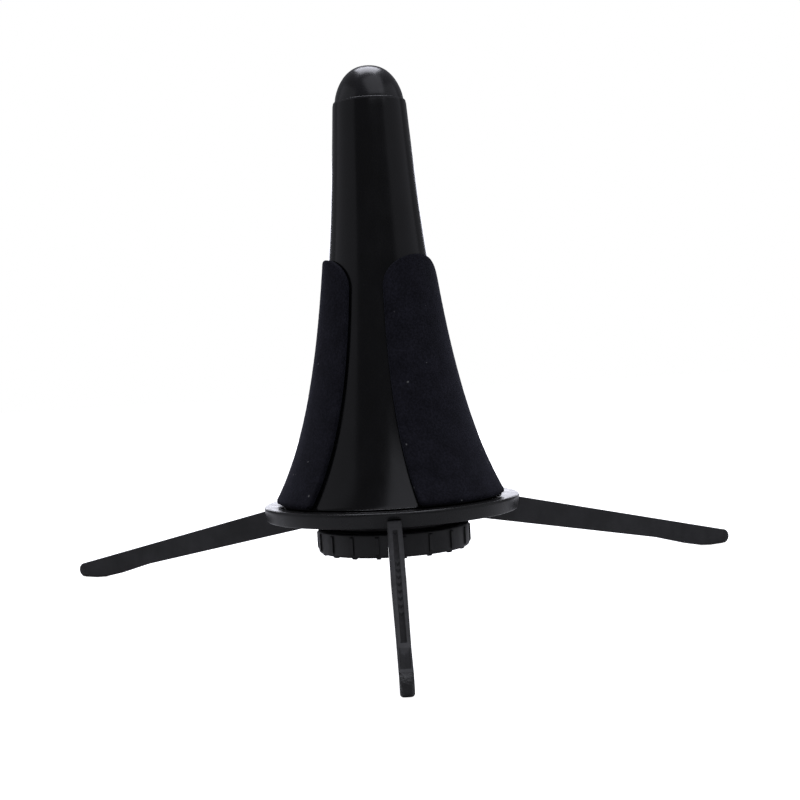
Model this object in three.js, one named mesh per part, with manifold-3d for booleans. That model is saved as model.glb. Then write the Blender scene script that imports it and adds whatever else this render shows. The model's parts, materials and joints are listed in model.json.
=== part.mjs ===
// Trumpet stand: a hollow horn-shaped cone with three velvet pads, on a flanged base.
// A hub plugs into the flange from below and carries three blade legs that fold down on pins.
// Millimetres, +Z up. The legs rest on z = 0; the front leg points nearly along -Y.
import * as THREE from 'three';
import { mergeVertices } from 'three/addons/utils/BufferGeometryUtils.js';
import Module from 'manifold-3d';

const wasm = await Module();
wasm.setup();

// ---- Driving dimensions -------------------------------------------------------------------

const GAP = 0.3;                    // clearance between pieces that touch
const ROUND_SEGMENTS = 48;          // facets round a full turn of the large turned pieces
const SMALL_SEGMENTS = 16;          // facets round pins, screws and holes

// Horn curve of the cone: radius = HORN_SCALE / (z + HORN_SHIFT) ^ HORN_POWER
const HORN_SCALE = 2187;
const HORN_SHIFT = 31.5;
const HORN_POWER = 0.9545;
const CONE_WALL = 2.2;
const CONE_TOP = 177;

const CAP_LIP_RADIUS = 13.2;        // lip round the foot of the dome that closes the cone
const CAP_LIP_HEIGHT = 0.9;
const DOME_RADIUS = 12.5;
const CAP_HEIGHT = 13.6;
const CAP_PLUG_RADIUS = 10.8;
const CAP_PLUG_DEPTH = 8;
const CAP_WALL = 2;

const FLANGE_RADIUS = 46.5;
const FLANGE_TOP = 34.1;
const PLATE_UNDERSIDE = 31.9;
const RIM_BOTTOM = 28.9;
const RIM_WALL = 2.2;
const SOCKET_RADIUS = 28.2;         // opening in the flange that takes the hub
const SOCKET_WALL = 2.2;
const SOCKET_TOP = 44.5;
const SOCKET_LIP = 2;               // inward lip that rests on the hub's spigot
const LOCATING_RIB_RADIUS = 34.6;   // rib that centres the cone on the flange

const SPIGOT_RADIUS = 27.8;
const SPIGOT_TOP = 42.5;
const SPIGOT_WALL = 2.2;
const DECK_TOP = 34.3;
const NECK_RADIUS = 21;
const GRIP_RADIUS = 27.5;
const GRIP_TOP = 24.6;
const GRIP_BOTTOM = 16.2;
const GRIP_RIBS = 18;
const CORE_RADIUS = 12;

const LEG_DIRECTIONS = { front: -88.25, right: 29.25, left: 149 };   // degrees from +X
const LEG_REACH = 158.6;            // hub axis to the end of the foot
const LEG_TOP_SLOPE = 0.2354;
const LEG_BOTTOM_SLOPE = 0.2028;
const LEG_ROOT_WIDTH = 4.5;
const LEG_TIP_WIDTH = 3.7;
const SLOT_WIDTH = 5.2;
const PIVOT_RADIUS = 16;            // hub axis to the fold pin
const PIVOT_HEIGHT = 27.9;
const EYE_RADIUS = 3.6;
const PIN_RADIUS = 1.15;
const PIN_LENGTH = 15;

const PAD_THICKNESS = 1.9;
const PAD_BOTTOM = 34.5;
const PAD_SHOULDER = 109;           // where the arched top of a pad begins
const PAD_TOP = 121.3;
const PAD_BASE_HALF_WIDTH = 22;
const PAD_SHOULDER_HALF_WIDTH = 14.2;
const PAD_DIRECTIONS = { right: -43.7, rear: 76.3, left: 196.3 };     // degrees from +X

// ---- Materials ----------------------------------------------------------------------------

function material(color, roughness, metalness = 0) {
  return new THREE.MeshStandardMaterial({ color, roughness, metalness });
}

const MATERIALS = {
  gloss: () => material(0x0d0d0f, 0.18),
  satin: () => material(0x1d1e1f, 0.42),
  leg: () => material(0x262627, 0.5),
  velvet: () => material(0x111117, 0.95),
  rubber: () => material(0x121212, 0.85),
  steel: () => material(0xb8b8ba, 0.35, 1),
};

// ---- Geometry helpers ---------------------------------------------------------------------

const point = (x, y) => new THREE.Vector2(x, y);
const LEG_ANGLES = Object.values(LEG_DIRECTIONS);
const SCREW_ANGLES = [-29.5, 89, 210.5];     // about halfway between the legs
const RIB_ANGLES = Array.from({ length: GRIP_RIBS }, (_, i) => i * 360 / GRIP_RIBS - 81.2);

// Merge shared vertices, drop collapsed triangles and turn the faces outward.
function cleaned(geometry) {
  const bare = geometry.clone();
  bare.deleteAttribute('normal');
  bare.deleteAttribute('uv');
  const merged = mergeVertices(bare, 1e-4);
  const source = merged.index.array;
  const position = merged.attributes.position;
  const corners = [new THREE.Vector3(), new THREE.Vector3(), new THREE.Vector3()];
  const triangles = [];
  let volume = 0;
  for (let i = 0; i < source.length; i += 3) {
    const [a, b, c] = [source[i], source[i + 1], source[i + 2]];
    if (a === b || b === c || c === a) continue;
    triangles.push([a, b, c]);
    [a, b, c].forEach((vertex, k) => corners[k].fromBufferAttribute(position, vertex));
    volume += corners[0].dot(corners[1].clone().cross(corners[2]));
  }
  const indices = volume < 0 ? triangles.map(([a, b, c]) => [a, c, b]) : triangles;
  merged.setIndex(indices.flat());
  return merged;
}

function solid(geometry) {
  const merged = cleaned(geometry);
  return new wasm.Manifold(new wasm.Mesh({
    numProp: 3,
    vertProperties: new Float32Array(merged.attributes.position.array),
    triVerts: new Uint32Array(merged.index.array),
  }));
}

function meshGeometry(body) {
  const { vertProperties, triVerts } = body.getMesh();
  const geometry = new THREE.BufferGeometry();
  geometry.setAttribute('position', new THREE.BufferAttribute(vertProperties, 3));
  geometry.setIndex(new THREE.BufferAttribute(triVerts, 1));
  geometry.computeVertexNormals();
  return geometry;
}

// Turn a closed (radius, z) profile round the Z axis.
function turned(profile, segments = ROUND_SEGMENTS) {
  const closed = profile[0].x < 1e-6 ? profile : [...profile, profile[0].clone()];
  return new THREE.LatheGeometry(closed, segments).rotateX(Math.PI / 2);
}

// Extrude a closed (x, z) outline across Y, centred on y = 0.
function plate(outline, width) {
  const shape = new THREE.Shape(outline);
  const geometry = new THREE.ExtrudeGeometry(shape, { depth: width, bevelEnabled: false, steps: 1 });
  return geometry.translate(0, 0, -width / 2).rotateX(Math.PI / 2);
}

function box(low, high) {
  const size = high.map((value, axis) => value - low[axis]);
  const centre = high.map((value, axis) => (value + low[axis]) / 2);
  return new THREE.BoxGeometry(...size).translate(...centre);
}

// Points on an arc from one angle to another, in degrees.
function arc(x, y, radius, from, to, steps) {
  return Array.from({ length: steps + 1 }, (_, i) => {
    const angle = THREE.MathUtils.degToRad(from + (to - from) * i / steps);
    return point(x + radius * Math.cos(angle), y + radius * Math.sin(angle));
  });
}

function union(bodies) {
  return bodies.reduce((sum, body) => sum.add(body));
}

// Copy a geometry to each direction round the hub axis and join the copies.
function around(geometry, directions) {
  return union(directions.map((angle) => solid(
    geometry.clone().rotateZ(THREE.MathUtils.degToRad(angle)),
  )));
}

function named(name, geometry, finish) {
  const mesh = new THREE.Mesh(geometry, finish());
  mesh.name = name;
  return mesh;
}

// ---- Cone, cap and pads -------------------------------------------------------------------

const hornRadius = (z) => HORN_SCALE / (z + HORN_SHIFT) ** HORN_POWER;

// Heights that follow the horn curve, closer together where it flares.
function hornHeights(bottom, top, steps) {
  return Array.from({ length: steps + 1 }, (_, i) => bottom + (top - bottom) * (i / steps) ** 1.5);
}

function coneShell() {
  const bottom = FLANGE_TOP + GAP;
  const heights = hornHeights(bottom, CONE_TOP, 12);
  const outer = heights.map((z) => point(hornRadius(z), z));
  const inner = heights.map((z) => point(hornRadius(z) - CONE_WALL, z));
  return cleaned(turned([...outer, ...inner.reverse()]));
}

function tipCap() {
  const bottom = CONE_TOP + GAP;
  const steps = 12;
  const domeRadius = (fraction) => DOME_RADIUS * (1 - fraction ** 1.55) ** 0.41;
  const domeHeight = CAP_HEIGHT - CAP_LIP_HEIGHT;
  const dome = Array.from({ length: steps }, (_, i) => {
    const fraction = Math.sin(Math.PI / 2 * i / steps);
    return point(domeRadius(fraction), bottom + CAP_LIP_HEIGHT + fraction * domeHeight);
  });
  const plugInside = CAP_PLUG_RADIUS - CAP_WALL;
  const profile = [
    point(0, bottom + CAP_HEIGHT),
    ...dome.reverse(),
    point(CAP_LIP_RADIUS, bottom + CAP_LIP_HEIGHT * 0.6),
    point(CAP_LIP_RADIUS, bottom),
    point(CAP_PLUG_RADIUS, bottom),
    point(CAP_PLUG_RADIUS, bottom - CAP_PLUG_DEPTH),
    point(plugInside, bottom - CAP_PLUG_DEPTH),
    point(plugInside, bottom + CAP_HEIGHT * 0.4),
    point(plugInside * 0.6, bottom + CAP_HEIGHT * 0.7),
    point(0, bottom + CAP_HEIGHT * 0.8),
  ];
  return cleaned(turned(profile, 36));
}

// Half width of a pad along the cone's surface at a height: straight sides, then an arched top.
function padHalfWidth(z) {
  const share = (z - PAD_BOTTOM) / (PAD_SHOULDER - PAD_BOTTOM);
  if (share <= 1) return THREE.MathUtils.lerp(PAD_BASE_HALF_WIDTH, PAD_SHOULDER_HALF_WIDTH, share);
  const rise = (z - PAD_SHOULDER) / (PAD_TOP - PAD_SHOULDER);
  return PAD_SHOULDER_HALF_WIDTH * Math.sqrt(Math.max(1 - rise ** 2, 0.01));
}

// A pad is a sheet of even thickness wrapped on the horn, centred on the +X direction.
function pad() {
  const columns = 8;
  const straight = hornHeights(PAD_BOTTOM, PAD_SHOULDER, 9);
  const arched = [0.4, 0.7, 0.88, 1].map((part) => THREE.MathUtils.lerp(PAD_SHOULDER, PAD_TOP, part));
  const heights = [...straight, ...arched];
  const rows = heights.length;
  const positions = [];
  for (const offset of [GAP, GAP + PAD_THICKNESS]) {
    for (const z of heights) {
      const halfAngle = padHalfWidth(z) / hornRadius(z);
      const radius = hornRadius(z) + offset;
      for (let column = 0; column <= columns; column += 1) {
        const angle = halfAngle * (2 * column / columns - 1);
        positions.push(radius * Math.cos(angle), radius * Math.sin(angle), z);
      }
    }
  }
  const vertex = (layer, row, column) => (layer * rows + row) * (columns + 1) + column;
  const indices = [];
  const quad = (a, b, c, d) => indices.push(a, b, c, a, c, d);
  for (let row = 0; row < rows - 1; row += 1) {
    for (let column = 0; column < columns; column += 1) {
      quad(vertex(1, row, column), vertex(1, row, column + 1),
        vertex(1, row + 1, column + 1), vertex(1, row + 1, column));
      quad(vertex(0, row, column), vertex(0, row + 1, column),
        vertex(0, row + 1, column + 1), vertex(0, row, column + 1));
    }
    quad(vertex(0, row, 0), vertex(1, row, 0), vertex(1, row + 1, 0), vertex(0, row + 1, 0));
    quad(vertex(0, row, columns), vertex(0, row + 1, columns),
      vertex(1, row + 1, columns), vertex(1, row, columns));
  }
  for (let column = 0; column < columns; column += 1) {
    quad(vertex(0, 0, column), vertex(0, 0, column + 1),
      vertex(1, 0, column + 1), vertex(1, 0, column));
    quad(vertex(0, rows - 1, column), vertex(1, rows - 1, column),
      vertex(1, rows - 1, column + 1), vertex(0, rows - 1, column + 1));
  }
  const geometry = new THREE.BufferGeometry();
  geometry.setAttribute('position', new THREE.Float32BufferAttribute(positions, 3));
  geometry.setIndex(indices);
  return cleaned(geometry);
}

// ---- Base flange --------------------------------------------------------------------------

function baseFlange() {
  const rimInside = FLANGE_RADIUS - RIM_WALL;
  const socketOutside = SOCKET_RADIUS + SOCKET_WALL;
  const ribInside = LOCATING_RIB_RADIUS - 1.6;
  const ribTop = FLANGE_TOP + 3.3;
  const edge = 0.6;
  const profile = [
    point(SOCKET_RADIUS, PLATE_UNDERSIDE),
    point(rimInside, PLATE_UNDERSIDE),
    point(rimInside, RIM_BOTTOM),
    ...arc(FLANGE_RADIUS - edge, RIM_BOTTOM + edge, edge, -90, 0, 2),
    ...arc(FLANGE_RADIUS - edge, FLANGE_TOP - edge, edge, 0, 90, 2),
    point(LOCATING_RIB_RADIUS, FLANGE_TOP),
    point(LOCATING_RIB_RADIUS, ribTop),
    point(ribInside, ribTop),
    point(ribInside, FLANGE_TOP),
    point(socketOutside, FLANGE_TOP),
    point(socketOutside, SOCKET_TOP),
    point(SOCKET_RADIUS - SOCKET_LIP, SOCKET_TOP),
    point(SOCKET_RADIUS - SOCKET_LIP, SPIGOT_TOP + GAP),
    point(SOCKET_RADIUS, SPIGOT_TOP + GAP),
  ];
  const notch = box([rimInside - 1, -SLOT_WIDTH / 2, RIM_BOTTOM - 1],
    [FLANGE_RADIUS + 1, SLOT_WIDTH / 2, PLATE_UNDERSIDE]);
  const notches = around(notch, LEG_ANGLES);
  return meshGeometry(solid(turned(profile)).subtract(notches));
}

// ---- Hub ----------------------------------------------------------------------------------

const COVER_TOP = 19.5;
const COVER_THICKNESS = 1.6;
const COVER_RADIUS = 24.7;
const RECESS_TOP = COVER_TOP + GAP;
const SEAT_WIDTH = 2 * (PIN_RADIUS + GAP);
const SEAT_LENGTH = PIN_LENGTH + 1;
const SCREW_CIRCLE = 19;
const SCREW_RADIUS = 1.25;
const SCREW_HEAD_RADIUS = 2.6;
const SCREW_LENGTH = 9;

function hubBlank() {
  const edge = 2.2;
  const profile = [
    point(0, GRIP_BOTTOM),
    ...arc(GRIP_RADIUS - edge, GRIP_BOTTOM + edge, edge, -90, 0, 3),
    ...arc(GRIP_RADIUS - 0.8, GRIP_TOP - 0.8, 0.8, 0, 90, 2),
    point(NECK_RADIUS, GRIP_TOP),
    point(NECK_RADIUS, PLATE_UNDERSIDE),
    point(SPIGOT_RADIUS, PLATE_UNDERSIDE),
    point(SPIGOT_RADIUS, SPIGOT_TOP),
    point(SPIGOT_RADIUS - SPIGOT_WALL, SPIGOT_TOP),
    point(SPIGOT_RADIUS - SPIGOT_WALL, DECK_TOP),
    point(0, DECK_TOP),
  ];
  return solid(turned(profile));
}

function gripRibs() {
  const outline = [
    point(GRIP_RADIUS - 1, GRIP_TOP - 0.6),
    point(GRIP_RADIUS + 0.5, GRIP_TOP - 1.2),
    point(GRIP_RADIUS + 0.5, GRIP_BOTTOM + 1.8),
    point(GRIP_RADIUS - 1, GRIP_BOTTOM - 0.5),
    point(GRIP_RADIUS - 2.6, GRIP_BOTTOM - 0.5),
    point(GRIP_RADIUS - 2.6, GRIP_BOTTOM + 1),
    point(GRIP_RADIUS - 1, GRIP_BOTTOM + 2),
  ];
  return around(plate(outline, 1.3), RIB_ANGLES);
}

// Hollows under the hub between the leg slots, closed by the cover, with a boss for each screw.
function hubPockets() {
  const wall = 2.4;
  const profile = [
    point(CORE_RADIUS + wall, RECESS_TOP - 1),
    point(GRIP_RADIUS - wall, RECESS_TOP - 1),
    point(GRIP_RADIUS - wall, GRIP_TOP - wall),
    point(NECK_RADIUS - wall, GRIP_TOP - wall),
    point(NECK_RADIUS - wall, PLATE_UNDERSIDE - wall),
    point(CORE_RADIUS + wall, PLATE_UNDERSIDE - wall),
  ];
  const spoke = box([0, -SEAT_LENGTH / 2 - 1, 0], [FLANGE_RADIUS, SEAT_LENGTH / 2 + 1, SOCKET_TOP]);
  const boss = turned([
    point(0, 0), point(3.4, 0), point(3.4, SOCKET_TOP), point(0, SOCKET_TOP),
  ], SMALL_SEGMENTS).translate(SCREW_CIRCLE, 0, 0);
  return solid(turned(profile))
    .subtract(around(spoke, LEG_ANGLES))
    .subtract(around(boss, SCREW_ANGLES));
}

function screwHoles(radius, bottom, top) {
  const hole = turned([
    point(0, bottom), point(radius, bottom), point(radius, top), point(0, top),
  ], SMALL_SEGMENTS).translate(SCREW_CIRCLE, 0, 0);
  return around(hole, SCREW_ANGLES);
}

function baseHub() {
  const recess = turned([
    point(0, 0), point(COVER_RADIUS + GAP, 0),
    point(COVER_RADIUS + GAP, RECESS_TOP), point(0, RECESS_TOP),
  ]);
  const slot = box([CORE_RADIUS + 0.1, -SLOT_WIDTH / 2, 0],
    [FLANGE_RADIUS, SLOT_WIDTH / 2, PLATE_UNDERSIDE]);
  const seat = plate([
    point(PIVOT_RADIUS - SEAT_WIDTH / 2, 0),
    point(PIVOT_RADIUS + SEAT_WIDTH / 2, 0),
    ...arc(PIVOT_RADIUS, PIVOT_HEIGHT, SEAT_WIDTH / 2, 0, 180, 8),
  ], SEAT_LENGTH);
  return meshGeometry(hubBlank()
    .add(gripRibs())
    .subtract(solid(recess))
    .subtract(around(slot, LEG_ANGLES))
    .subtract(hubPockets())
    .subtract(around(seat, LEG_ANGLES))
    .subtract(screwHoles(SCREW_RADIUS + GAP, RECESS_TOP - 1, RECESS_TOP + SCREW_LENGTH)));
}

// Round cover under the hub: its posts reach up beside each leg and hold the fold pins in.
function hubCover() {
  const bottom = COVER_TOP - COVER_THICKNESS;
  const disc = turned([
    point(0, bottom), point(COVER_RADIUS, bottom),
    point(COVER_RADIUS, COVER_TOP), point(0, COVER_TOP),
  ]);
  const slot = box([CORE_RADIUS + 0.1, -SLOT_WIDTH / 2, 0], [FLANGE_RADIUS, SLOT_WIDTH / 2, FLANGE_TOP]);
  const postTop = PIVOT_HEIGHT - PIN_RADIUS - GAP;
  const postInside = SLOT_WIDTH / 2 + 0.8;
  const postOutside = SEAT_LENGTH / 2 - GAP;
  const posts = [-1, 1].map((side) => around(box(
    [PIVOT_RADIUS - PIN_RADIUS, Math.min(side * postInside, side * postOutside), bottom],
    [PIVOT_RADIUS + PIN_RADIUS, Math.max(side * postInside, side * postOutside), postTop],
  ), LEG_ANGLES));
  return meshGeometry(solid(disc)
    .subtract(around(slot, LEG_ANGLES))
    .subtract(screwHoles(SCREW_RADIUS + GAP, bottom - 1, COVER_TOP + 1))
    .add(union(posts)));
}

// Pan-head screw, standing head down at the origin of its own frame.
function coverScrew() {
  const headTop = COVER_TOP - COVER_THICKNESS - GAP;
  const head = turned([
    point(0, headTop - 1.5),
    point(SCREW_HEAD_RADIUS - 0.7, headTop - 1.5),
    point(SCREW_HEAD_RADIUS, headTop - 0.8),
    point(SCREW_HEAD_RADIUS, headTop),
    point(SCREW_RADIUS, headTop),
    point(SCREW_RADIUS, headTop + SCREW_LENGTH),
    point(0, headTop + SCREW_LENGTH + 0.8),
  ], SMALL_SEGMENTS);
  const drive = [0, 90].map((turn) => solid(
    box([-1.4, -0.3, headTop - 2], [1.4, 0.3, headTop - 0.7])
      .rotateZ(THREE.MathUtils.degToRad(turn)),
  ));
  return meshGeometry(solid(head).subtract(union(drive)));
}

// Fold pin across a leg, with chamfered ends.
function hingePin() {
  const half = PIN_LENGTH / 2;
  const chamfer = 0.4;
  return cleaned(turned([
    point(0, -half),
    point(PIN_RADIUS - chamfer, -half),
    point(PIN_RADIUS, chamfer - half),
    point(PIN_RADIUS, half - chamfer),
    point(PIN_RADIUS - chamfer, half),
    point(0, half),
  ], SMALL_SEGMENTS).rotateX(Math.PI / 2));
}

// ---- Legs ---------------------------------------------------------------------------------
// A leg lies along +X in its own frame: x is the distance from the hub axis, z the height.

const LEG_ROOT_TOP = PIVOT_HEIGHT + EYE_RADIUS;
const LEG_ROOT_BOTTOM = PIVOT_HEIGHT - EYE_RADIUS;
const legTop = (x) => Math.min(28.2 - LEG_TOP_SLOPE * (x - 60), LEG_ROOT_TOP);
const legBottom = (x) => Math.max(19.05 - LEG_BOTTOM_SLOPE * (x - 57), 0);
const TOP_BREAK = 60 - (LEG_ROOT_TOP - 28.2) / LEG_TOP_SLOPE;
const BOTTOM_BREAK = 57 - (LEG_ROOT_BOTTOM - 19.05) / LEG_BOTTOM_SLOPE;
const ANKLE = 121;                  // where the underside ramps down to the sole
const HEEL = 148;                   // where the flat sole begins
const NOSE_RADIUS = 2.8;
const NOSE_CENTRE = LEG_REACH - NOSE_RADIUS;
const LEG_END = NOSE_CENTRE - 1.2;
const PEG_LENGTH = 5;
const PEG_LOW = 1.4;
const PEG_HIGH = 2.8;
const PEG_WIDTH = 1.6;

// Narrow an extruded leg piece evenly from its root to its tip.
function tapered(geometry) {
  const position = geometry.attributes.position;
  for (let i = 0; i < position.count; i += 1) {
    const share = (position.getX(i) - PIVOT_RADIUS) / (LEG_REACH - PIVOT_RADIUS);
    const width = THREE.MathUtils.lerp(LEG_ROOT_WIDTH, LEG_TIP_WIDTH, Math.max(share, 0));
    position.setY(i, Math.sign(position.getY(i)) * width / 2);
  }
  return geometry;
}

function leg() {
  const outline = [
    ...arc(PIVOT_RADIUS, PIVOT_HEIGHT, EYE_RADIUS, 90, 270, 10),
    point(BOTTOM_BREAK, LEG_ROOT_BOTTOM),
    point(ANKLE, legBottom(ANKLE)),
    point(HEEL - 12, 1.9),
    point(HEEL - 5, 0.45),
    point(HEEL, 0),
    point(LEG_END, 0),
    point(LEG_END, legTop(LEG_END)),
    point(TOP_BREAK, LEG_ROOT_TOP),
  ];
  const recess = (start, end, depth, width) => solid(plate([
    point(start, legTop(start) - depth),
    point(end, legTop(end) - depth),
    point(end, legTop(end) + 2),
    point(start, legTop(start) + 2),
  ], width));
  const bore = turned([
    point(0, -LEG_ROOT_WIDTH), point(PIN_RADIUS + GAP, -LEG_ROOT_WIDTH),
    point(PIN_RADIUS + GAP, LEG_ROOT_WIDTH), point(0, LEG_ROOT_WIDTH),
  ], SMALL_SEGMENTS).rotateX(Math.PI / 2).translate(PIVOT_RADIUS, 0, PIVOT_HEIGHT);
  const socket = box([LEG_END - PEG_LENGTH - GAP, -PEG_WIDTH / 2 - GAP, PEG_LOW - GAP],
    [LEG_END + 1, PEG_WIDTH / 2 + GAP, PEG_HIGH + GAP]);
  return meshGeometry(solid(tapered(plate(outline, LEG_ROOT_WIDTH)))
    .subtract(recess(50, 137.4, 1.6, 1.9))
    .subtract(recess(140.2, LEG_END - 0.8, 0.9, 2.5))
    .subtract(solid(socket))
    .subtract(solid(bore)));
}

// Rubber nose on the end of a leg, held by a peg.
function legFoot() {
  const back = LEG_END + GAP;
  const outline = [
    point(back, 0),
    ...arc(NOSE_CENTRE, NOSE_RADIUS, NOSE_RADIUS, -90, 70, 8),
    point(back, legTop(back)),
  ];
  const peg = box([back - PEG_LENGTH, -PEG_WIDTH / 2, PEG_LOW], [back + 1, PEG_WIDTH / 2, PEG_HIGH]);
  return meshGeometry(solid(tapered(plate(outline, LEG_TIP_WIDTH))).add(solid(peg)));
}

// ---- Assembly -----------------------------------------------------------------------------

const stand = new THREE.Group();
stand.add(named('base_hub', baseHub(), MATERIALS.satin));
stand.add(named('hub_cover', hubCover(), MATERIALS.satin));
stand.add(named('base_flange', baseFlange(), MATERIALS.satin));
stand.add(named('cone_shell', coneShell(), MATERIALS.gloss));
stand.add(named('tip_cap', tipCap(), MATERIALS.gloss));

Object.entries(LEG_DIRECTIONS).forEach(([name, direction]) => {
  const arm = new THREE.Group();
  arm.rotation.z = THREE.MathUtils.degToRad(direction);
  arm.add(named(`leg_${name}`, leg(), MATERIALS.leg));
  arm.add(named(`foot_${name}`, legFoot(), MATERIALS.rubber));
  const pin = named(`hinge_pin_${name}`, hingePin(), MATERIALS.steel);
  pin.position.set(PIVOT_RADIUS, 0, PIVOT_HEIGHT);
  arm.add(pin);
  stand.add(arm);
});

SCREW_ANGLES.forEach((angle, index) => {
  const mount = new THREE.Group();
  mount.rotation.z = THREE.MathUtils.degToRad(angle);
  const screw = named(`cover_screw_${index + 1}`, coverScrew(), MATERIALS.steel);
  screw.position.x = SCREW_CIRCLE;
  mount.add(screw);
  stand.add(mount);
});

Object.entries(PAD_DIRECTIONS).forEach(([name, direction]) => {
  const patch = named(`pad_${name}`, pad(), MATERIALS.velvet);
  patch.rotation.z = THREE.MathUtils.degToRad(direction);
  stand.add(patch);
});

// Put the origin at the centre of the stand's footprint.
const extent = new THREE.Box3().setFromObject(stand);
const centre = extent.getCenter(new THREE.Vector3());
stand.position.set(-centre.x, -centre.y, 0);
const model = new THREE.Group();
model.add(stand);

export default model;
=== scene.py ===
# Trumpet stand: the finished looks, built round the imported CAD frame.
# Metres, in the frame's own axes. Profiles and outlines are given in millimetres.
import json
import math

import bmesh
import bpy
import numpy as np
from mathutils import Matrix, Vector


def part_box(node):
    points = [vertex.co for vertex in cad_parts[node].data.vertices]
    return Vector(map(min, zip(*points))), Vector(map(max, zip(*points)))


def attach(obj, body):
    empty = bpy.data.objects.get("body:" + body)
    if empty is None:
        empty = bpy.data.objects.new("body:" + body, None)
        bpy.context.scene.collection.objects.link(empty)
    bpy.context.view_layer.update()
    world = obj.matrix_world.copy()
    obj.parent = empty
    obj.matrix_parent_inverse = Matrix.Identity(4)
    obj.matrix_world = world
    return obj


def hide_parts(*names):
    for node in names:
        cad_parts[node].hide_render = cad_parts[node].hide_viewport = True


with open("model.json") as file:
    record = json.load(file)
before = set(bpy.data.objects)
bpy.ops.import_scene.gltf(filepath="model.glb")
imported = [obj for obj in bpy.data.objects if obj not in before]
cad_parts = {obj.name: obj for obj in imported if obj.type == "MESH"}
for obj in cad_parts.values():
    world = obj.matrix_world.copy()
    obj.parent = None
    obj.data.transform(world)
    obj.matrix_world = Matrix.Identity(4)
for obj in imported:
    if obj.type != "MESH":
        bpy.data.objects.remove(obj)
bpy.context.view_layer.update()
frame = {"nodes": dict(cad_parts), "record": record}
MM = 0.001
scene = bpy.context.scene

# ---- Places taken from the frame ----------------------------------------------------------

joints = {joint["name"]: joint for joint in frame["record"]["behaviour"]["joints"]}


def fold_axis(name):
    return joints[f"leg_{name}_fold"]["axis"]


# Directions in degrees from +X
LEGS = {name: math.degrees(math.atan2(-fold_axis(name)[0], fold_axis(name)[1]))
        for name in ("front", "right", "left")}
PADS = {"right": -43.7, "rear": 76.3, "left": 196.3}


def middle(node):
    low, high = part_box(node)
    return (low + high) / 2


def height_range(node):
    low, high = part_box(node)
    return low.z / MM, high.z / MM


def half_width(node):
    low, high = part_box(node)
    return (high.x - low.x) / 2 / MM


AXIS = Vector((middle("base_flange").x, middle("base_flange").y, 0))
CONE_BOTTOM, CONE_TOP = height_range("cone_shell")
CAP_TOP = height_range("tip_cap")[1]
RIM_BOTTOM, SOCKET_TOP = height_range("base_flange")
FLANGE_RADIUS = half_width("base_flange")
COVER_BOTTOM = height_range("hub_cover")[0]
COVER_RADIUS = half_width("hub_cover")
PIVOT_HEIGHT = middle("hinge_pin_front").z / MM
PIVOT_RADIUS = (middle("hinge_pin_front").xy - AXIS.xy).length / MM
FRONT = Vector((math.cos(math.radians(LEGS["front"])), math.sin(math.radians(LEGS["front"])), 0))
LEG_REACH = max((frame["nodes"]["foot_front"].matrix_world @ vertex.co - AXIS).dot(FRONT)
                for vertex in frame["nodes"]["foot_front"].data.vertices) / MM
PAD_BOTTOM, PAD_TOP = height_range("pad_rear")
GAP = 0.3                                                  # clearance between pieces that touch

# The cone's horn curve, as in the CAD model: radius = scale / (height + shift) ** power
HORN_SCALE = 2187.0
HORN_SHIFT = 31.5
HORN_POWER = 0.9545


def horn_radius(z):
    return HORN_SCALE / (z + HORN_SHIFT) ** HORN_POWER


# ---- Camera -------------------------------------------------------------------------------

CAMERA_PLACE = AXIS + Vector((0.01141, -0.49401, 0.0851))
CAMERA_PAN = -0.0129
CAMERA_TILT = 0.0310
CAMERA_ROLL = -0.0570
CAMERA_LENS = 61.1


def make_camera():
    data = bpy.data.cameras.new("camera")
    data.lens = CAMERA_LENS
    data.sensor_width = 36
    data.clip_start = 0.01
    camera = bpy.data.objects.new("camera", data)
    scene.collection.objects.link(camera)
    forward = Vector((
        math.sin(CAMERA_PAN) * math.cos(CAMERA_TILT),
        math.cos(CAMERA_PAN) * math.cos(CAMERA_TILT),
        -math.sin(CAMERA_TILT),
    ))
    right = forward.cross(Vector((0, 0, 1))).normalized()
    up = right.cross(forward)
    x_axis = math.cos(CAMERA_ROLL) * right + math.sin(CAMERA_ROLL) * up
    y_axis = math.cos(CAMERA_ROLL) * up - math.sin(CAMERA_ROLL) * right
    turn = Matrix((x_axis, y_axis, -forward)).transposed()
    camera.matrix_world = Matrix.Translation(CAMERA_PLACE) @ turn.to_4x4()
    scene.camera = camera


# ---- Mesh helpers -------------------------------------------------------------------------

SIDE_SHARE = 0.49                                          # the most of a side that a corner takes
MERGE_DISTANCE = 1e-5
ON_AXIS = 1e-6                                             # a smaller radius counts as zero
CUT_SHADING = 30                                           # degrees: sharper edges stay crisp


def corner_points(points, closed=True, steps=5):
    """Outline through (x, y, radius) corners, in millimetres, each corner rounded by its radius."""
    result = []
    count = len(points)
    for i, (x, y, radius) in enumerate(points):
        here = Vector((x, y))
        at_end = not closed and i in (0, count - 1)
        if radius <= 0 or at_end:
            result.append((x, y))
            continue
        before = Vector(points[i - 1][:2]) - here
        after = Vector(points[(i + 1) % count][:2]) - here
        half = before.angle(after) / 2
        reach = min(radius / math.tan(half), before.length * SIDE_SHARE, after.length * SIDE_SHARE)
        start = here + before.normalized() * reach
        end = here + after.normalized() * reach
        for k in range(steps + 1):
            t = k / steps
            place = start * (1 - t) ** 2 + here * 2 * t * (1 - t) + end * t ** 2
            result.append((place.x, place.y))
    return result


def link(name, mesh):
    obj = bpy.data.objects.new(name, mesh)
    scene.collection.objects.link(obj)
    return obj


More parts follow.
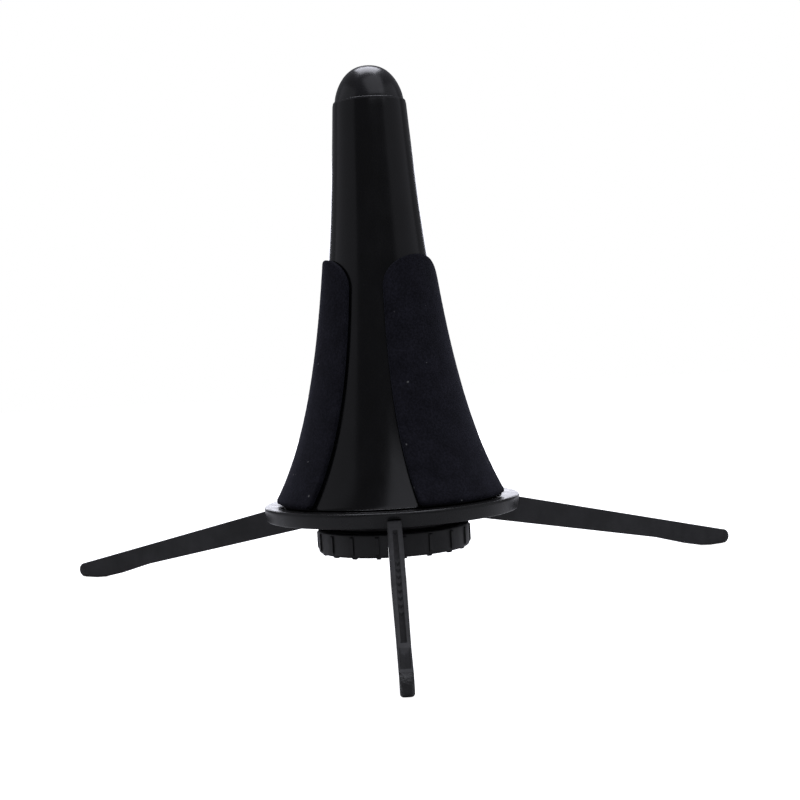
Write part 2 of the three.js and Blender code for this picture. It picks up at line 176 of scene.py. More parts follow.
def finish_mesh(bm, name, smooth_angle=35):
    """Turn a bmesh in millimetres about the hub axis into an object with smooth shading."""
    bmesh.ops.remove_doubles(bm, verts=bm.verts, dist=MERGE_DISTANCE)
    bmesh.ops.recalc_face_normals(bm, faces=bm.faces)
    bm.transform(Matrix.Translation(AXIS) @ Matrix.Scale(MM, 4))
    mesh = bpy.data.meshes.new(name)
    bm.to_mesh(mesh)
    bm.free()
    shade(mesh, smooth_angle)
    return link(name, mesh)


def shade(mesh, smooth_angle):
    mesh.polygons.foreach_set("use_smooth", [True] * len(mesh.polygons))
    mesh.set_sharp_from_angle(angle=math.radians(smooth_angle))


def lathe_bmesh(profile, segments):
    """Closed (radius, height) profile turned round the hub axis."""
    bm = bmesh.new()
    angles = [2 * math.pi * i / segments for i in range(segments)]
    rings = []
    for radius, height in profile:
        if radius < ON_AXIS:
            rings.append([bm.verts.new((0, 0, height))] * segments)
        else:
            rings.append([bm.verts.new((radius * math.cos(a), radius * math.sin(a), height))
                          for a in angles])
    starts_on_axis = profile[0][0] < ON_AXIS
    pairs = zip(rings, rings[1:] if starts_on_axis else rings[1:] + rings[:1])
    for ring, following in pairs:
        for i in range(segments):
            j = (i + 1) % segments
            corners = [ring[i], ring[j], following[j], following[i]]
            unique = list(dict.fromkeys(corners))
            if len(unique) > 2:
                bm.faces.new(unique)
    return bm


def turn_to(bm, angle):
    """Turn a bmesh that lies along +X to a direction given in degrees."""
    bm.transform(Matrix.Rotation(math.radians(angle), 4, "Z"))


def prism(name, outline, width, angle):
    """Object from an (x, z) outline extruded across Y by width, then turned about Z by angle."""
    bm = bmesh.new()
    near = [bm.verts.new((x, -width / 2, z)) for x, z in outline]
    far = [bm.verts.new((x, width / 2, z)) for x, z in outline]
    bm.faces.new(near)
    bm.faces.new(far[::-1])
    count = len(outline)
    for i in range(count):
        j = (i + 1) % count
        bm.faces.new((near[j], near[i], far[i], far[j]))
    turn_to(bm, angle)
    return finish_mesh(bm, name)


def combine(obj, cutters, operation):
    """Cut or join obj with each cutter object, delete the cutters and shade the result."""
    for cutter in cutters:
        modifier = obj.modifiers.new("cut", "BOOLEAN")
        modifier.operation = operation
        modifier.solver = "EXACT"
        modifier.object = cutter
    apply_modifiers(obj)
    for cutter in cutters:
        bpy.data.objects.remove(cutter)
    shade(obj.data, CUT_SHADING)


def apply_modifiers(obj):
    graph = bpy.context.evaluated_depsgraph_get()
    mesh = bpy.data.meshes.new_from_object(obj.evaluated_get(graph))
    obj.modifiers.clear()
    obj.data = mesh


# ---- Materials ----------------------------------------------------------------------------

def new_material(name):
    material = bpy.data.materials.new(name)
    material.use_nodes = True
    tree = material.node_tree
    return material, tree, tree.nodes["Principled BSDF"]


def noise(tree, scale, detail=3.0, stretch=(1, 1, 1)):
    """Noise in the object's own coordinates: scale is the number of cells per metre."""
    coordinates = tree.nodes.new("ShaderNodeTexCoord")
    mapping = tree.nodes.new("ShaderNodeMapping")
    mapping.inputs["Scale"].default_value = stretch
    texture = tree.nodes.new("ShaderNodeTexNoise")
    texture.inputs["Scale"].default_value = scale
    texture.inputs["Detail"].default_value = detail
    tree.links.new(coordinates.outputs["Object"], mapping.inputs["Vector"])
    tree.links.new(mapping.outputs["Vector"], texture.inputs["Vector"])
    return texture.outputs["Fac"]


def ramp(tree, value, low, high, low_at=0.35, high_at=0.65):
    """Map a value to a colour between low and high."""
    node = tree.nodes.new("ShaderNodeValToRGB")
    node.color_ramp.elements[0].position = low_at
    node.color_ramp.elements[0].color = (*low, 1)
    node.color_ramp.elements[1].position = high_at
    node.color_ramp.elements[1].color = (*high, 1)
    tree.links.new(value, node.inputs["Fac"])
    return node.outputs["Color"]


def span(tree, value, low, high, low_at=0.3, high_at=0.7):
    """Map a value to a number between low and high."""
    node = tree.nodes.new("ShaderNodeMapRange")
    node.inputs["From Min"].default_value = low_at
    node.inputs["From Max"].default_value = high_at
    node.inputs["To Min"].default_value = low
    node.inputs["To Max"].default_value = high
    tree.links.new(value, node.inputs["Value"])
    return node.outputs["Result"]


def bump(tree, shader, height, strength, distance):
    node = tree.nodes.new("ShaderNodeBump")
    node.inputs["Strength"].default_value = strength
    node.inputs["Distance"].default_value = distance
    tree.links.new(height, node.inputs["Height"])
    tree.links.new(node.outputs["Normal"], shader.inputs["Normal"])


# Name: dark and light colour, lowest and highest roughness, specular level, then the surface
# grain's cells per metre, strength and depth in metres
PLASTICS = {
    "cone_gloss": ((0.0016,) * 3, (0.0026, 0.0026, 0.0029), (0.15, 0.24), 0.27, 900, 0.03, 0.00005),
    "cap_gloss": ((0.0048,) * 3, (0.0072, 0.0072, 0.0086), (0.2, 0.28), 0.38, 900, 0.03, 0.00005),
    "flange_plastic": ((0.0036,) * 3, (0.0054,) * 3, (0.24, 0.34), 0.27, 2600, 0.14, 0.00005),
    "hub_plastic": ((0.0062,) * 3, (0.0092,) * 3, (0.4, 0.54), 0.31, 2600, 0.3, 0.00005),
    "leg_plastic": ((0.0185,) * 3, (0.0255, 0.0255, 0.0265), (0.55, 0.72), 0.2, 2600, 0.5, 0.00005),
    "foot_rubber": ((0.004,) * 3, (0.010,) * 3, (0.45, 0.7), 0.36, 1500, 1.0, 0.0006),
}
# Cells per metre of each noise
MOTTLING_SCALE = 90
SMEAR_SCALE = 240
PATCH_SCALE = 130
SPECKLE_SCALE = 1500
LINT_SCALE = 620
PILE_SCALE = 3200
DRAWN_LINE_SCALE = 2500
LINT_COLOUR = (0.1, 0.1, 0.1, 1)
SHEEN_TINT = (0.7, 0.72, 1.0, 1)


def plastic(name, dark, light, roughness, specular, grain_scale, grain, grain_depth):
    """Moulded plastic or rubber: slightly mottled colour, uneven gloss and a surface grain."""
    material, tree, shader = new_material(name)
    mottling = noise(tree, MOTTLING_SCALE, 4)
    tree.links.new(ramp(tree, mottling, dark, light), shader.inputs["Base Color"])
    smears = noise(tree, SMEAR_SCALE, 5, (1, 1, 0.35))
    tree.links.new(span(tree, smears, *roughness), shader.inputs["Roughness"])
    shader.inputs["Specular IOR Level"].default_value = specular
    bump(tree, shader, noise(tree, grain_scale, 2), grain, grain_depth)
    return material


def velvet():
    """Short dark pile: brushed patches, a fine speckle and a few specks of lint."""
    material, tree, shader = new_material("velvet")
    patches = ramp(tree, noise(tree, PATCH_SCALE, 5),
                   (0.0068, 0.0068, 0.0098), (0.0106, 0.0106, 0.0152))
    speckle = ramp(tree, noise(tree, SPECKLE_SCALE, 2), (0.72,) * 3, (1.35,) * 3, 0.4, 0.62)
    pile = tree.nodes.new("ShaderNodeMix")
    pile.data_type = "RGBA"
    pile.blend_type = "MULTIPLY"
    pile.inputs["Factor"].default_value = 1
    tree.links.new(patches, pile.inputs["A"])
    tree.links.new(speckle, pile.inputs["B"])
    lint = tree.nodes.new("ShaderNodeMix")
    lint.data_type = "RGBA"
    lint.inputs["B"].default_value = LINT_COLOUR
    specks = span(tree, noise(tree, LINT_SCALE, 0), 0, 1, 0.845, 0.86)
    tree.links.new(specks, lint.inputs["Factor"])
    tree.links.new(pile.outputs["Result"], lint.inputs["A"])
    tree.links.new(lint.outputs["Result"], shader.inputs["Base Color"])
    shader.inputs["Roughness"].default_value = 0.95
    shader.inputs["Specular IOR Level"].default_value = 0.1
    shader.inputs["Sheen Weight"].default_value = 0.04
    shader.inputs["Sheen Roughness"].default_value = 0.4
    shader.inputs["Sheen Tint"].default_value = SHEEN_TINT
    bump(tree, shader, noise(tree, PILE_SCALE, 3), 0.5, 0.0002)
    return material


def steel():
    """Bright drawn steel with fine lines."""
    material, tree, shader = new_material("steel")
    lines = noise(tree, DRAWN_LINE_SCALE, 3, (1, 1, 0.08))
    tree.links.new(ramp(tree, lines, (0.42, 0.42, 0.44), (0.6, 0.6, 0.62)),
                   shader.inputs["Base Color"])
    tree.links.new(span(tree, lines, 0.22, 0.42), shader.inputs["Roughness"])
    shader.inputs["Metallic"].default_value = 1
    bump(tree, shader, lines, 0.15, 0.00003)
    return material


def make_materials():
    made = {name: plastic(name, *settings) for name, settings in PLASTICS.items()}
    made["velvet"] = velvet()
    made["steel"] = steel()
    return made


def dress(obj, body, slot, node):
    """Give a new piece its finish and its body, and hide the CAD node that it stands for."""
    obj.data.materials.clear()
    obj.data.materials.append(materials[slot])
    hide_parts(node)
    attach(obj, body)


# ---- Cone and cap -------------------------------------------------------------------------

FINE = 192                                                 # segments of the large turned pieces
CAP_SEGMENTS = 128
CONE_WALL = 2.2
CONE_STEPS = 60
CONE_CROWDING = 1.4                                        # puts more steps near the flared foot
CONE_EDGE = 0.45                                           # height left free for the rounded edges
# The dome's radius at a share of its height: DOME_RADIUS * (1 - share ** RISE) ** ROUNDNESS
DOME_RADIUS = 12.5
DOME_RISE = 1.55
DOME_ROUNDNESS = 0.41
DOME_STEPS = 40
CAP_SEAM = 0.06                                            # fine gap between cap and cone
CAP_LIP_HEIGHT = 0.9
PLUG_RADIUS = 10.8
CAP_BORE, CAP_BORE_SHOULDER = 8.8, 5.3


def make_cone():
    height = CONE_TOP - CONE_BOTTOM
    heights = [CONE_BOTTOM + height * (i / CONE_STEPS) ** CONE_CROWDING
               for i in range(CONE_STEPS + 1)]
    outer = [(horn_radius(z), z) for z in heights
             if CONE_BOTTOM + CONE_EDGE <= z <= CONE_TOP - CONE_EDGE]
    inner = [(horn_radius(z) - CONE_WALL, z) for z in heights if z <= CONE_TOP - CONE_EDGE]
    foot_radius = horn_radius(CONE_BOTTOM)
    top_radius = horn_radius(CONE_TOP)
    profile = [
        (foot_radius - 0.2, CONE_BOTTOM),
        (foot_radius - 0.02, CONE_BOTTOM + 0.1),
        (foot_radius, CONE_BOTTOM + 0.25),
        *outer,
        (top_radius, CONE_TOP - 0.3),
        (top_radius - 0.05, CONE_TOP),
        (top_radius - CONE_WALL, CONE_TOP),
        *inner[::-1],
    ]
    return finish_mesh(lathe_bmesh(profile, FINE), "cone_skin", smooth_angle=50)


def make_cap():
    """Glossy dome with a low rounded lip round its foot, and a plug that sits in the cone."""
    bottom, plug_bottom = CONE_TOP + CAP_SEAM, height_range("tip_cap")[0]
    lip_radius = half_width("tip_cap")
    height = CAP_TOP - bottom
    foot = bottom + CAP_LIP_HEIGHT
    dome = []
    for i in range(DOME_STEPS):
        rise = math.sin(math.pi / 2 * i / DOME_STEPS)
        dome.append((DOME_RADIUS * (1 - rise ** DOME_RISE) ** DOME_ROUNDNESS,
                     foot + rise * (CAP_TOP - foot)))
    profile = [
        (0, CAP_TOP),
        *dome[::-1],
        (lip_radius - 0.4, foot),
        (lip_radius - 0.16, foot - 0.07),
        (lip_radius - 0.04, foot - 0.22),
        (lip_radius, foot - 0.4),
        (lip_radius, bottom),
        (PLUG_RADIUS, bottom),
        (PLUG_RADIUS, plug_bottom + 0.4),
        (PLUG_RADIUS - 0.3, plug_bottom),
        (CAP_BORE, plug_bottom),
        (CAP_BORE, bottom + height * 0.4),
        (CAP_BORE_SHOULDER, bottom + height * 0.7),
        (0, bottom + height * 0.8),
    ]
    return finish_mesh(lathe_bmesh(profile, CAP_SEGMENTS), "tip_dome", smooth_angle=50)


# ---- Pads ---------------------------------------------------------------------------------

PAD_SHOULDER = 109.0
PAD_BASE_HALF_WIDTH = 22.0
PAD_SHOULDER_HALF_WIDTH = 14.2
PAD_THICKNESS = 1.9
PAD_EDGE_WALL = 1.45                                       # straight part of the cut edge
PAD_EDGE_ROUND = 0.7
PAD_CORNER = 1.0
PAD_TIP_CUT = 0.02                                         # keeps the arch's last row open
PAD_FOOT_DROP = 0.2                                        # lowest reach of the outer face
PAD_ARCH_STEPS = 24
PAD_ROWS, PAD_COLUMNS = 190, 80
PILE_HEIGHT = 0.02                                         # unevenness of the velvet


def pad_outline():
    """Half of a pad's flat outline, from its bottom middle to its top, in millimetres."""
    bottom = corner_points([
        (0, PAD_BOTTOM, 0),
        (PAD_BASE_HALF_WIDTH, PAD_BOTTOM, PAD_CORNER),
        (PAD_SHOULDER_HALF_WIDTH, PAD_SHOULDER, 0),
    ], closed=False, steps=10)
    arch = []
    for i in range(1, PAD_ARCH_STEPS + 1):
        angle = math.pi / 2 * i / PAD_ARCH_STEPS
        arch.append((PAD_SHOULDER_HALF_WIDTH * math.cos(angle),
                     PAD_SHOULDER + (PAD_TOP - PAD_SHOULDER) * math.sin(angle)))
    return np.array(bottom + arch)


def edge_distance(points, outline):
    """Distance from each point to the nearest stretch of a polyline."""
    starts, ends = outline[:-1], outline[1:]
    along = ends - starts
    lengths = np.maximum((along ** 2).sum(1), 1e-12)
    offset = points[:, None, :] - starts[None, :, :]
    share = np.clip((offset * along).sum(2) / lengths, 0, 1)
    nearest = starts + share[:, :, None] * along
    return np.sqrt(((points[:, None, :] - nearest) ** 2).sum(2)).min(1)


def make_pad(name, direction, seed):
    """Velvet-covered foam sheet on the cone: rounded cut edges, a soft crown and an uneven pile."""
    outline = pad_outline()
    shape = (PAD_ROWS, PAD_COLUMNS)
    highest = PAD_TOP - PAD_TIP_CUT
    shares = np.linspace(0, 1, PAD_ROWS)
    heights = PAD_BOTTOM + (highest - PAD_BOTTOM) * np.sin(shares * math.pi / 2)
    widths = np.interp(heights, outline[1:, 1], outline[1:, 0])
    across = np.sin(np.linspace(-1, 1, PAD_COLUMNS) * math.pi / 2)
    flat = np.stack([np.outer(widths, across), np.repeat(heights[:, None], PAD_COLUMNS, 1)], 2)
    whole = np.concatenate([outline, (outline * (-1, 1))[::-1]])
    distance = edge_distance(flat.reshape(-1, 2), whole).reshape(shape)
    curve = np.clip(distance / PAD_EDGE_ROUND, 0, 1)
    rounding = np.sqrt(1 - (1 - curve) ** 2)
    thickness = PAD_EDGE_WALL + (PAD_THICKNESS - PAD_EDGE_WALL) * rounding
    pile = np.random.default_rng(seed).normal(0, PILE_HEIGHT, shape)
    radius = horn_radius(heights)[:, None]
    slope = -HORN_POWER * radius / (heights[:, None] + HORN_SHIFT)
    lean = np.sqrt(1 + slope ** 2)
    angles = math.radians(direction) + flat[:, :, 0] / radius
    bm = bmesh.new()
    layers = []
    for lift in (np.full(shape, GAP), GAP + thickness + pile):
        r = radius + lift / lean
        z = np.clip(flat[:, :, 1] - lift * slope / lean, PAD_BOTTOM - PAD_FOOT_DROP, None)
        place = np.stack([r * np.cos(angles), r * np.sin(angles), z], 2)
        layers.append([[bm.verts.new(point) for point in row] for row in place])
    inner, outer = layers
    for i in range(PAD_ROWS - 1):
        for j in range(PAD_COLUMNS - 1):
            bm.faces.new((outer[i][j], outer[i][j + 1], outer[i + 1][j + 1], outer[i + 1][j]))
            bm.faces.new((inner[i][j], inner[i + 1][j], inner[i + 1][j + 1], inner[i][j + 1]))
        for j, flip in ((0, False), (PAD_COLUMNS - 1, True)):
            wall = (inner[i][j], outer[i][j], outer[i + 1][j], inner[i + 1][j])
            bm.faces.new(wall[::-1] if flip else wall)
    for i, flip in ((0, True), (PAD_ROWS - 1, False)):
        for j in range(PAD_COLUMNS - 1):
            wall = (inner[i][j], outer[i][j], outer[i][j + 1], inner[i][j + 1])
            bm.faces.new(wall[::-1] if flip else wall)
    return finish_mesh(bm, name, smooth_angle=60)


# ---- Flange -------------------------------------------------------------------------------

FLANGE_TOP = CONE_BOTTOM - GAP
PLATE_THICKNESS = 2.2
PLATE_UNDERSIDE = FLANGE_TOP - PLATE_THICKNESS
RIM_WALL = 2.2
RIM_TAPER = 0.9                                            # inward lean of the rim's lower edge
RIB_RADIUS, RIB_INSIDE = 34.6, 33.0                        # rib that centres the cone
RIB_TOP = FLANGE_TOP + 3.3
SOCKET_RADIUS = 28.2                                       # opening that takes the hub's spigot
SOCKET_WALL = 2.2
SOCKET_OUTSIDE = SOCKET_RADIUS + SOCKET_WALL
SPIGOT_TOP = height_range("base_hub")[1]
LIP_RADIUS = SOCKET_RADIUS - 2                             # inward lip that rests on the spigot
LIP_UNDERSIDE = SPIGOT_TOP + GAP
SLOT_WIDTH = 4.8


def make_flange():
    rim_inside = FLANGE_RADIUS - RIM_WALL
    profile = corner_points([
        (SOCKET_RADIUS, PLATE_UNDERSIDE, 0.2),
        (rim_inside, PLATE_UNDERSIDE, 0.4),
        (rim_inside - RIM_TAPER, RIM_BOTTOM, 0.4),
        (FLANGE_RADIUS - RIM_TAPER, RIM_BOTTOM, 0.6),
        (FLANGE_RADIUS, FLANGE_TOP, 1.1),
        (RIB_RADIUS, FLANGE_TOP, 0.3),
        (RIB_RADIUS, RIB_TOP, 0.3),
        (RIB_INSIDE, RIB_TOP, 0.3),
        (RIB_INSIDE, FLANGE_TOP, 0.3),
        (SOCKET_OUTSIDE, FLANGE_TOP, 0.3),
        (SOCKET_OUTSIDE, SOCKET_TOP, 0.3),
        (LIP_RADIUS, SOCKET_TOP, 0.3),
        (LIP_RADIUS, LIP_UNDERSIDE, 0.2),
        (SOCKET_RADIUS, LIP_UNDERSIDE, 0.2),
    ])
    flange = finish_mesh(lathe_bmesh(profile, FINE), "flange_skin", smooth_angle=CUT_SHADING)
    inside, outside = rim_inside - RIM_TAPER - 1, FLANGE_RADIUS + 1
    low, high = RIM_BOTTOM - 1, PLATE_UNDERSIDE - 0.02
    notch = [(inside, low), (outside, low), (outside, high), (inside, high)]
    cutters = [prism("cutter", notch, SLOT_WIDTH, angle) for angle in LEGS.values()]
    combine(flange, cutters, "DIFFERENCE")
    return flange


# ---- Hub ----------------------------------------------------------------------------------

GRIP_RADIUS = 27.5
GRIP_TOP = 24.6
GRIP_BOTTOM = 16.2
GRIP_RIBS = 18
GRIP_RIB_WIDTH = 1.3
FIRST_RIB = -81.2                                          # its direction in degrees
RIB_FACE = GRIP_RADIUS + 0.5
NECK_RADIUS = 21.0
CORE_RADIUS = 12.0
SPIGOT_RADIUS = SOCKET_RADIUS - 0.4
SPIGOT_WALL = 2.2
SPIGOT_INSIDE = SPIGOT_RADIUS - SPIGOT_WALL
DECK_TOP = PLATE_UNDERSIDE + 2.4
PIN_SEAT_RADIUS = 1.45
PIN_SEAT_LENGTH = 16.0
PIN_SEAT_STEPS = 12
RECESS_RADIUS = COVER_RADIUS + GAP
COVER_THICKNESS = 1.6
RECESS_TOP = COVER_BOTTOM + COVER_THICKNESS + GAP


def make_hub():
    profile = corner_points([
        (0, RECESS_TOP, 0),
        (RECESS_RADIUS, RECESS_TOP, 0.2),
        (RECESS_RADIUS, GRIP_BOTTOM, 0.3),
        (GRIP_RADIUS, GRIP_BOTTOM, 2.0),
        (GRIP_RADIUS, GRIP_TOP, 0.8),
        (NECK_RADIUS, GRIP_TOP, 0.6),
        (NECK_RADIUS, PLATE_UNDERSIDE, 0.4),
        (SPIGOT_RADIUS, PLATE_UNDERSIDE, 0.3),
        (SPIGOT_RADIUS, SPIGOT_TOP, 0.4),
        (SPIGOT_INSIDE, SPIGOT_TOP, 0.4),
        (SPIGOT_INSIDE, DECK_TOP, 0.6),
        (0, DECK_TOP, 0),
    ], closed=False)
    hub = finish_mesh(lathe_bmesh(profile, FINE), "hub_skin", smooth_angle=CUT_SHADING)
    slot_start = CORE_RADIUS + 0.1
    slot = [(slot_start, 0), (FLANGE_RADIUS, 0),
            (FLANGE_RADIUS, PLATE_UNDERSIDE), (slot_start, PLATE_UNDERSIDE)]
    seat = [(PIVOT_RADIUS - PIN_SEAT_RADIUS, 0), (PIVOT_RADIUS + PIN_SEAT_RADIUS, 0)]
    for i in range(PIN_SEAT_STEPS + 1):
        turn = math.pi * i / PIN_SEAT_STEPS
        seat.append((PIVOT_RADIUS + PIN_SEAT_RADIUS * math.cos(turn),
                     PIVOT_HEIGHT + PIN_SEAT_RADIUS * math.sin(turn)))
    cutters = []
    for angle in LEGS.values():
        cutters.append(prism("cutter", slot, SLOT_WIDTH, angle))
        cutters.append(prism("cutter", seat, PIN_SEAT_LENGTH, angle))
    rib = corner_points([
        (GRIP_RADIUS - 1, GRIP_TOP - 0.5, 0),
        (RIB_FACE, GRIP_TOP - 1.0, 0.6),
        (RIB_FACE, GRIP_BOTTOM + 1.6, 1.2),
        (GRIP_RADIUS - 1.0, GRIP_BOTTOM - 0.5, 0.6),
        (GRIP_RADIUS - 2.4, GRIP_BOTTOM - 0.5, 0.5),
        (GRIP_RADIUS - 2.4, GRIP_BOTTOM + 1, 0),
        (GRIP_RADIUS - 1.0, GRIP_BOTTOM + 2.4, 0),
    ], steps=4)
    ribs = [prism("rib", rib, GRIP_RIB_WIDTH, FIRST_RIB + i * 360 / GRIP_RIBS)
            for i in range(GRIP_RIBS)]
    combine(hub, ribs, "UNION")
    combine(hub, cutters, "DIFFERENCE")
    return hub


# ---- Legs ---------------------------------------------------------------------------------

EYE_RADIUS = 3.6
EYE_STEPS = 10
# Straight lines of the leg in side view: (distance from the hub axis, height there, fall)
LEG_TOP_LINE = (60, 28.2, 0.2354)
LEG_BOTTOM_LINE = (57, 19.05, 0.2028)
ANKLE, HEEL = 121.0, 148.0
HEEL_CURVE = ((HEEL - 12, HEEL - 5, HEEL), (1.9, 0.45, 0))
NOSE_RADIUS = 2.8
LEG_END = LEG_REACH - NOSE_RADIUS - 1.2
# Recesses in a leg's top edge: (start, end, depth, half width)
LADDER = (55.0, 119.0, 0.9, 0.75)
GROOVE = (119.0, 137.4, 1.1, 0.75)
PANEL = (140.2, LEG_END - 2.2, 0.9, 1.35)
PANEL_RUN_IN = 2.5                                         # length over which the panel sinks in
LADDER_BARS = [79.5 + 5.2 * k for k in range(8)]
BAR_HALF = 1.5
BAR_DEPTH = 0.4
EDGE_STEP = 0.25                                           # half the length of a recess's end wall
RECESS_BEVEL = 0.12
HEEL_STATIONS = (120.5, 153, 40)                           # start, end and number of close sections
# Distances from the hub axis and the leg's half widths there
LEG_HALF_WIDTHS = ((34, 48, 75, 140, 159), (2.25, 2.42, 2.38, 1.88, 1.95))


def leg_top(x):
    start, height, fall = LEG_TOP_LINE
    return min(height - fall * (x - start), PIVOT_HEIGHT + EYE_RADIUS)


def leg_bottom(x):
    start, height, fall = LEG_BOTTOM_LINE
    line = height - fall * (min(x, ANKLE) - start)
    if x > ANKLE:
        places, heights = HEEL_CURVE
        line = np.interp(x, (ANKLE, *places), (line, *heights))
    return min(float(line), PIVOT_HEIGHT - EYE_RADIUS)


def leg_half_width(x):
    return float(np.interp(x, *LEG_HALF_WIDTHS))


def recess(x):
    """Depth and half width of the recess in a leg's top edge at distance x."""
    if any(abs(x - bar) < BAR_HALF for bar in LADDER_BARS):
        return BAR_DEPTH, LADDER[3]
    for start, end, depth, half in (LADDER, GROOVE, PANEL):
        if start <= x < end:
            run_in = min(1, (x - start) / PANEL_RUN_IN) if start == PANEL[0] else 1
            return depth * run_in, half
    return 0.0, LADDER[3] if x < GROOVE[1] + 1 else PANEL[3]


def leg_section(x, top, bottom):
    """Cross-section of a leg at distance x: rounded blade with a vee-floored recess on top."""
    width = leg_half_width(x)
    depth, half = recess(x)
    depth = min(depth, (top - bottom) * 0.6)
    corner = min(0.4, (top - bottom) * 0.3)
    bulge = 0.3 * corner
    right = [
        (width - corner, bottom), (width - bulge, bottom + bulge), (width, bottom + corner),
        (width, top - corner), (width - bulge, top - bulge), (width - corner, top),
        (half + RECESS_BEVEL, top), (half, top - min(RECESS_BEVEL, depth)),
        (half - 0.08, top - depth),
    ]
    left = [(-y, z) for y, z in right[::-1]]
    return right + [(0, top - depth - min(depth, half * 0.8))] + left


def loft(stations, section):
    """Closed body through the same number of (y, z) points at each station along X."""
    bm = bmesh.new()
    rings = [[bm.verts.new((x, y, z)) for y, z in section(x)] for x in stations]
    count = len(rings[0])
    for ring, following in zip(rings, rings[1:]):
        for i in range(count):
            j = (i + 1) % count
            bm.faces.new((ring[i], ring[j], following[j], following[i]))
    bm.faces.new(rings[0][::-1])
    bm.faces.new(rings[-1])
    return bm


def make_leg(name, angle):
    eye = [PIVOT_RADIUS - EYE_RADIUS * math.cos(math.pi / 2 * i / EYE_STEPS)
           for i in range(EYE_STEPS + 1)]
    body = [*np.linspace(PIVOT_RADIUS + 1.5, LADDER[0] - 1, 14), *np.linspace(*HEEL_STATIONS)]
    edges = [LADDER[0], GROOVE[1], PANEL[0], PANEL[1]]
    edges += [bar + side * BAR_HALF for bar in LADDER_BARS for side in (-1, 1)]
    walls = [edge + side * EDGE_STEP for edge in edges for side in (-1, 1)]
    end = [LEG_END - 0.25, LEG_END - 0.06, LEG_END]

    def section(x):
        top, bottom = leg_top(x), leg_bottom(x)
        if x < PIVOT_RADIUS:
            reach = math.sqrt(max(EYE_RADIUS ** 2 - (PIVOT_RADIUS - x) ** 2, 0.01))
            top, bottom = PIVOT_HEIGHT + reach, PIVOT_HEIGHT - reach
        return leg_section(x, top, bottom)

    bm = loft(sorted(eye + body + walls + end), section)
    turn_to(bm, angle)
    return finish_mesh(bm, name, smooth_angle=32)


NOSE_TURNS = 20
NOSE_POINTS = 48


def make_nose(name, angle):
    """Rubber cap on the end of a leg, rounded in side view and in plan."""
    back = LEG_END + 0.06
    centre = LEG_REACH - NOSE_RADIUS
    stations = [back, back + 0.1]
    for k in range(NOSE_TURNS + 1):
        stations.append(centre + NOSE_RADIUS * math.sin(math.pi / 2 * k / NOSE_TURNS) * 0.999)

    def section(x):
        share = max(x - centre, 0) / NOSE_RADIUS
        drop = math.sqrt(1 - share ** 2)
        top = NOSE_RADIUS + (leg_top(min(x, centre)) - NOSE_RADIUS) * drop
        bottom = NOSE_RADIUS * (1 - drop)
        width = leg_half_width(x) * (0.4 + 0.6 * math.sqrt(1 - share ** 2.2))
        squareness = 0.35 + 0.35 * share
        middle_z, half_height = (top + bottom) / 2, (top - bottom) / 2
        points = []
        for k in range(NOSE_POINTS):
            turn = 2 * math.pi * k / NOSE_POINTS
            c, d = math.cos(turn), math.sin(turn)
            points.append((math.copysign(abs(c) ** squareness, c) * width,
                           middle_z + math.copysign(abs(d) ** squareness, d) * half_height))
        return points

    bm = loft(stations, section)
    turn_to(bm, angle)
    return finish_mesh(bm, name, smooth_angle=50)


# ---- Stage --------------------------------------------------------------------------------

DAYLIGHT = (0.96, 0.97, 1.07)
FLOOR_SIZE = 3
FLOOR_DROP = 0.0001                                        # keeps the floor just under the feet
FLOOR_GLOW = 0.96                                          # as the camera sees it
WORLD_STRENGTH = 0.18                                      # as the object sees it
MID_STAND = (0, 0, 0.08)
# Name: place and target in metres from the hub axis at floor height, width and height, watts
LIGHTS = {
    "overhead": ((0, 0.2, 0.75), MID_STAND, (0.42, 0.42), 3.3),
    "top_front": ((0.2, -0.36, 0.66), MID_STAND, (0.6, 0.6), 1.1),
    "left_box": ((-0.8, -0.1, 0.3), MID_STAND, (1.1, 1.0), 0.95),
    "right_box": ((0.8, -0.15, 0.3), MID_STAND, (1.1, 1.0), 1.05),
    "front_box": ((-0.1, -1.0, 0.02), MID_STAND, (0.7, 0.5), 0.6),
    "back_card": ((0, 1.0, 0.19), (0, 0, 0.04), (0.9, 0.26), 2.2),
}


def area_light(name, place, target, size, power):
    data = bpy.data.lights.new(name, "AREA")
    data.shape = "RECTANGLE"
    data.size, data.size_y = size
    data.energy = power
    data.color = DAYLIGHT
    light = bpy.data.objects.new(name, data)
    scene.collection.objects.link(light)
    light.location = AXIS + Vector(place)
    direction = AXIS + Vector(target) - light.location
    light.rotation_euler = direction.to_track_quat("-Z", "Y").to_euler()
    return light


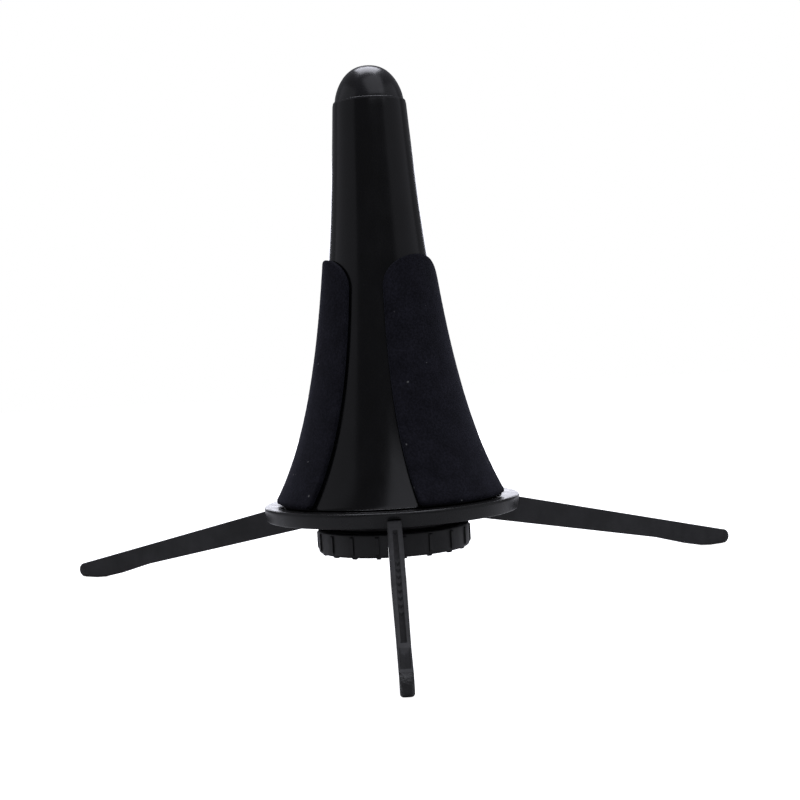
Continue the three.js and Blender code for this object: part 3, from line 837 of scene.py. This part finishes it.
def make_floor():
    bm = bmesh.new()
    bmesh.ops.create_grid(bm, x_segments=1, y_segments=1, size=FLOOR_SIZE)
    mesh = bpy.data.meshes.new("floor")
    bm.to_mesh(mesh)
    bm.free()
    floor = link("floor", mesh)
    floor.location.z = -FLOOR_DROP
    material, tree, shader = new_material("floor")
    shader.inputs["Base Color"].default_value = (0.8, 0.8, 0.8, 1)
    shader.inputs["Roughness"].default_value = 0.9
    shader.inputs["Specular IOR Level"].default_value = 0.0
    shader.inputs["Emission Color"].default_value = (1, 1, 1, 1)
    path = tree.nodes.new("ShaderNodeLightPath")
    glow = tree.nodes.new("ShaderNodeMath")
    glow.operation = "MULTIPLY"
    glow.inputs[1].default_value = FLOOR_GLOW
    tree.links.new(path.outputs["Is Camera Ray"], glow.inputs[0])
    tree.links.new(glow.outputs["Value"], shader.inputs["Emission Strength"])
    mesh.materials.append(material)


def make_world():
    """White to the camera, and a dim even light to everything else."""
    world = bpy.data.worlds.new("studio")
    scene.world = world
    world.use_nodes = True
    nodes, links = world.node_tree.nodes, world.node_tree.links
    seen = nodes["Background"]
    seen.inputs["Color"].default_value = (1, 1, 1, 1)
    seen.inputs["Strength"].default_value = 1.0
    dim = nodes.new("ShaderNodeBackground")
    dim.inputs["Color"].default_value = (*DAYLIGHT, 1)
    dim.inputs["Strength"].default_value = WORLD_STRENGTH
    path = nodes.new("ShaderNodeLightPath")
    mix = nodes.new("ShaderNodeMixShader")
    links.new(path.outputs["Is Camera Ray"], mix.inputs["Fac"])
    links.new(dim.outputs["Background"], mix.inputs[1])
    links.new(seen.outputs["Background"], mix.inputs[2])
    links.new(mix.outputs["Shader"], nodes["World Output"].inputs["Surface"])


def make_stage():
    make_floor()
    make_world()
    lights = {name: area_light(name, *settings) for name, settings in LIGHTS.items()}
    lights["back_card"].visible_camera = False


# ---- Build --------------------------------------------------------------------------------

make_camera()
scene.view_settings.view_transform = "Standard"
materials = make_materials()

dress(make_cone(), "cone", "cone_gloss", "cone_shell")
dress(make_cap(), "cone", "cap_gloss", "tip_cap")
dress(make_flange(), "cone", "flange_plastic", "base_flange")
dress(make_hub(), "base", "hub_plastic", "base_hub")

for seed, (name, direction) in enumerate(PADS.items(), start=1):
    pad = make_pad(f"velvet_pad_{name}", direction, seed)
    dress(pad, "cone", "velvet", f"pad_{name}")

for name, angle in LEGS.items():
    dress(make_leg(f"blade_{name}", angle), f"leg_{name}", "leg_plastic", f"leg_{name}")
    dress(make_nose(f"nose_{name}", angle), f"leg_{name}", "foot_rubber", f"foot_{name}")

slots = {part["node"]: part["material_slot"] for part in frame["record"]["subparts"]}
for name, node in frame["nodes"].items():
    if not node.hide_render:
        node.data.materials.clear()
        node.data.materials.append(materials[slots[name]])
        shade(node.data, CUT_SHADING)

make_stage()
